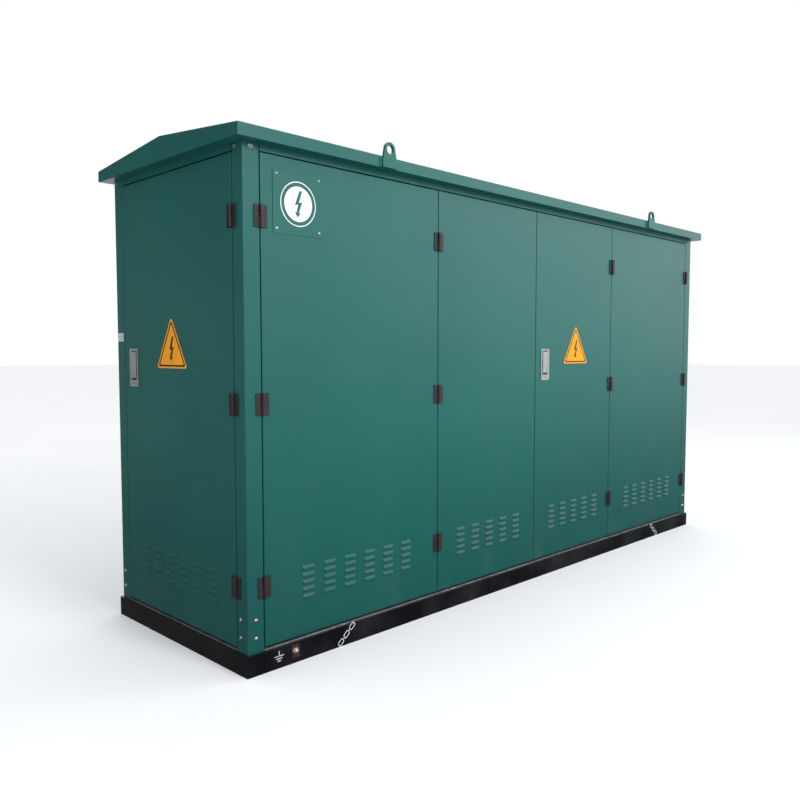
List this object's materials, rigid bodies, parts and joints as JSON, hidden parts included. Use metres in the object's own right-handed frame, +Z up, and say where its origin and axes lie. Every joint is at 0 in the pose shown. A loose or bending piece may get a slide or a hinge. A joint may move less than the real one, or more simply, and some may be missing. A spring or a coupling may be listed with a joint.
{
  "type": "pad-mounted transformer",
  "caption": "Green steel kiosk transformer on a black channel base, with bifold front doors, a hinged end door, paddle locks, gable roof and lifting lugs.",
  "frame": {"origin": "bottom centre of the channel base, on the surface that it stands on", "axes": "+X along the length, -Y out of the front doors, +Z up"},
  "size_m": [3.7, 1.1246, 2.058],
  "materials": {
    "green_paint": "glossy teal-green powder coat",
    "plate_green": "flat green enamelled plate",
    "base_black": "semi-gloss black bitumen paint",
    "galvanised": "galvanised sheet steel",
    "hinge_steel": "dark brown-black painted cast hinge",
    "lock_zinc": "satin nickel-plated zinc",
    "bolt_zinc": "bright zinc-plated steel",
    "copper": "dull oxidised copper",
    "tank_grey": "satin grey paint",
    "core_steel": "laminated core steel and wound copper",
    "epoxy": "glossy brown-red epoxy resin",
    "red_plastic": "glossy red moulded plastic",
    "black_plastic": "matt black moulded plastic",
    "cable_jacket": "matt dark red cable sheath",
    "panel_grey": "light grey textured powder coat"
  },
  "bodies": {
    "enclosure": {"base_frame": "base_black", "floor_plate": "galvanised", "corner_post_front_left": "green_paint", "corner_post_front_right": "green_paint", "corner_post_rear_left": "green_paint", "corner_post_rear_right": "green_paint", "top_frame": "green_paint", "roof_cover": "green_paint", "lifting_lug_front_left": "green_paint", "lifting_lug_front_right": "green_paint", "lifting_lug_rear_left": "green_paint", "lifting_lug_rear_right": "green_paint", "end_panel": "green_paint", "rear_panel_left": "green_paint", "rear_panel_right": "green_paint", "hinges_door_1_fixed": "hinge_steel", "hinges_door_4_fixed": "hinge_steel", "hinges_end_door_fixed": "hinge_steel", "earth_plate": "copper", "earth_bolt": "bolt_zinc", "partition_left": "galvanised", "partition_right": "galvanised", "transformer_tank": "tank_grey", "transformer_lid": "tank_grey", "core_and_windings": "core_steel", "lv_bushing_block": "epoxy", "lv_busbar_1": "copper", "lv_busbar_2": "copper", "lv_busbar_3": "copper", "lv_busbar_4": "copper", "hv_link_cable_1": "cable_jacket", "hv_link_cable_2": "cable_jacket", "hv_link_cable_3": "cable_jacket", "hv_switch_cabinet": "panel_grey", "lv_board": "panel_grey", "main_breaker": "black_plastic"},
    "front_door_1": {"front_door_1": "green_paint", "hinges_door_1_moving": "hinge_steel", "hinges_door_2_fixed": "hinge_steel", "nameplate": "plate_green"},
    "front_door_2": {"front_door_2": "green_paint", "hinges_door_2_moving": "hinge_steel"},
    "front_door_3": {"front_door_3": "green_paint", "hinges_door_3_moving": "hinge_steel", "lock_housing_front": "lock_zinc"},
    "front_door_4": {"front_door_4": "green_paint", "hinges_door_4_moving": "hinge_steel", "hinges_door_3_fixed": "hinge_steel"},
    "end_door": {"end_door": "green_paint", "hinges_end_door_moving": "hinge_steel", "lock_housing_end": "lock_zinc"},
    "lock_paddle_front": {"lock_paddle_front": "lock_zinc"},
    "lock_paddle_end": {"lock_paddle_end": "lock_zinc"},
    "lock_cylinder_front": {"lock_cylinder_front": "lock_zinc"},
    "lock_cylinder_end": {"lock_cylinder_end": "lock_zinc"},
    "lock_rod_front": {"lock_rod_front": "galvanised"},
    "lock_rod_end": {"lock_rod_end": "galvanised"},
    "hv_operating_handle": {"hv_operating_handle": "red_plastic"},
    "main_breaker_lever": {"main_breaker_lever": "red_plastic"},
    "tap_changer_knob": {"tap_changer_knob": "red_plastic"}
  },
  "joints": [
    {"name": "front_door_1_swing", "type": "hinge", "parent": "enclosure", "child": "front_door_1", "pos_m": [-1.725, -0.508, 1], "axis": [0, 0, -1], "range_deg": [0, 110]},
    {"name": "front_door_2_fold", "type": "hinge", "parent": "front_door_1", "child": "front_door_2", "pos_m": [-0.76, -0.508, 1], "axis": [0, 0, -1], "range_deg": [0, 165]},
    {"name": "front_door_4_swing", "type": "hinge", "parent": "enclosure", "child": "front_door_4", "pos_m": [1.725, -0.508, 1], "axis": [0, 0, 1], "range_deg": [0, 110]},
    {"name": "front_door_3_fold", "type": "hinge", "parent": "front_door_4", "child": "front_door_3", "pos_m": [0.76, -0.508, 1], "axis": [0, 0, 1], "range_deg": [0, 165]},
    {"name": "end_door_swing", "type": "hinge", "parent": "enclosure", "child": "end_door", "pos_m": [-1.808, -0.43, 1], "axis": [0, 0, 1], "range_deg": [0, 110]},
    {"name": "lock_paddle_front_lift", "type": "hinge", "parent": "front_door_3", "child": "lock_paddle_front", "pos_m": [0.085, -0.497, 1.192], "axis": [-1, 0, 0], "range_deg": [0, 40], "stiffness_Nm_per_rad": 0.3},
    {"name": "lock_paddle_end_lift", "type": "hinge", "parent": "end_door", "child": "lock_paddle_end", "pos_m": [-1.797, 0.345, 1.192], "axis": [0, 1, 0], "range_deg": [0, 40], "stiffness_Nm_per_rad": 0.3},
    {"name": "lock_cylinder_front_turn", "type": "hinge", "parent": "front_door_3", "child": "lock_cylinder_front", "pos_m": [0.085, -0.5, 1.0715], "axis": [0, -1, 0], "range_deg": [0, 90]},
    {"name": "lock_cylinder_end_turn", "type": "hinge", "parent": "end_door", "child": "lock_cylinder_end", "pos_m": [-1.8, 0.345, 1.0715], "axis": [-1, 0, 0], "range_deg": [0, 90]},
    {"name": "lock_rod_front_throw", "type": "slide", "parent": "front_door_3", "child": "lock_rod_front", "axis": [0, 0, 1], "range_m": [0, 0.014]},
    {"name": "lock_rod_end_throw", "type": "slide", "parent": "end_door", "child": "lock_rod_end", "axis": [0, 0, 1], "range_m": [0, 0.014]},
    {"name": "hv_operating_handle_turn", "type": "hinge", "parent": "enclosure", "child": "hv_operating_handle", "pos_m": [-1.26575, -0.345, 1.3061], "axis": [0, -1, 0], "range_deg": [0, 90]},
    {"name": "main_breaker_lever_throw", "type": "hinge", "parent": "enclosure", "child": "main_breaker_lever", "pos_m": [1.26575, -0.323, 1.3961], "axis": [1, 0, 0], "range_deg": [-35, 35]},
    {"name": "tap_changer_turn", "type": "hinge", "parent": "enclosure", "child": "tap_changer_knob", "pos_m": [0, 0, 1], "axis": [0, 0, 1], "range_deg": [0, 240]}
  ],
  "couplings": [
    {"joint": "lock_cylinder_front_turn", "follows": "lock_rod_front_throw", "rad_per_m": 112},
    {"joint": "lock_cylinder_end_turn", "follows": "lock_rod_end_throw", "rad_per_m": 112}
  ]
}
